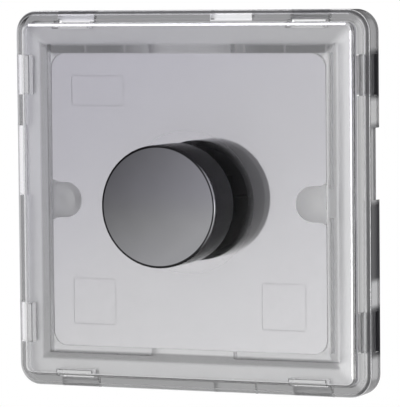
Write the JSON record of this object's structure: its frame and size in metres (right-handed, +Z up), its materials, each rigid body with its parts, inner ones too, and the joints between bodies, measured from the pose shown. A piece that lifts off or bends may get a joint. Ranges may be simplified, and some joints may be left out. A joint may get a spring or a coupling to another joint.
{
  "type": "dimmer switch",
  "caption": "Clear screwless square wall plate with a black metal push-and-turn dimmer knob and a square module that goes into the wall box behind it.",
  "frame": {"origin": "middle of the fixing pattern, on the wall face of the plate", "axes": "+X to the right and +Z up as seen from the room, +Y into the wall, the knob towards -Y"},
  "size_m": [0.086, 0.049, 0.086],
  "materials": {
    "clear_plastic": "clear moulded polycarbonate",
    "insert_metal": "bright satin",
    "black_nickel": "polished black nickel",
    "black_plastic": "moulded",
    "spring_steel": "bright",
    "spindle_metal": "turned",
    "turned_brass": "turned",
    "plated_steel": "zinc plated",
    "control_plastic": "moulded",
    "track_board": "phenolic with carbon track",
    "rotor_plastic": "moulded",
    "board_green": "coated laminate",
    "ferrite": "sintered",
    "copper_wire": "enamelled",
    "capacitor_case": "moulded case",
    "transistor_case": "moulded, tinned leads",
    "fuse_case": "moulded case",
    "module_plastic": "moulded"
  },
  "bodies": {
    "base": {"front_plate": "clear_plastic", "mounting_frame": "clear_plastic", "insert_plate": "insert_metal", "bush_nut": "plated_steel", "lock_washer": "plated_steel", "control_bush": "turned_brass", "control_body": "control_plastic", "resistive_track": "track_board", "circuit_board": "board_green", "switch_body": "control_plastic", "switch_contacts": "turned_brass", "switch_spring": "spring_steel", "power_transistors": "transistor_case", "choke_core": "ferrite", "choke_winding": "copper_wire", "suppression_capacitor": "capacitor_case", "fuse": "fuse_case", "terminal_clamps": "turned_brass", "terminal_screws": "plated_steel", "module_housing": "module_plastic", "module_cover": "module_plastic", "housing_screws": "plated_steel"},
    "rotor": {"wiper_rotor": "rotor_plastic", "wiper_contact": "turned_brass"},
    "knob": {"knob_cap": "black_nickel", "knob_core": "black_plastic", "knob_clip": "spring_steel", "spindle": "spindle_metal"},
    "plunger": {"switch_plunger": "rotor_plastic", "contact_bridge": "turned_brass"}
  },
  "joints": [
    {"name": "knob_turn", "type": "hinge", "parent": "base", "child": "rotor", "pos_m": [0, 0, 0], "axis": [0, 1, 0], "range_deg": [-135, 135]},
    {"name": "knob_push", "type": "slide", "parent": "rotor", "child": "knob", "axis": [0, 1, 0], "range_m": [0, 0.002], "stiffness_N_per_m": 1000, "springref_m": -0.002},
    {"name": "plunger_slide", "type": "slide", "parent": "base", "child": "plunger", "axis": [0, 1, 0], "range_m": [0, 0.002], "deforming": ["switch_spring"]}
  ],
  "couplings": [
    {"joint": "plunger_slide", "follows": "knob_push", "ratio": 1}
  ]
}
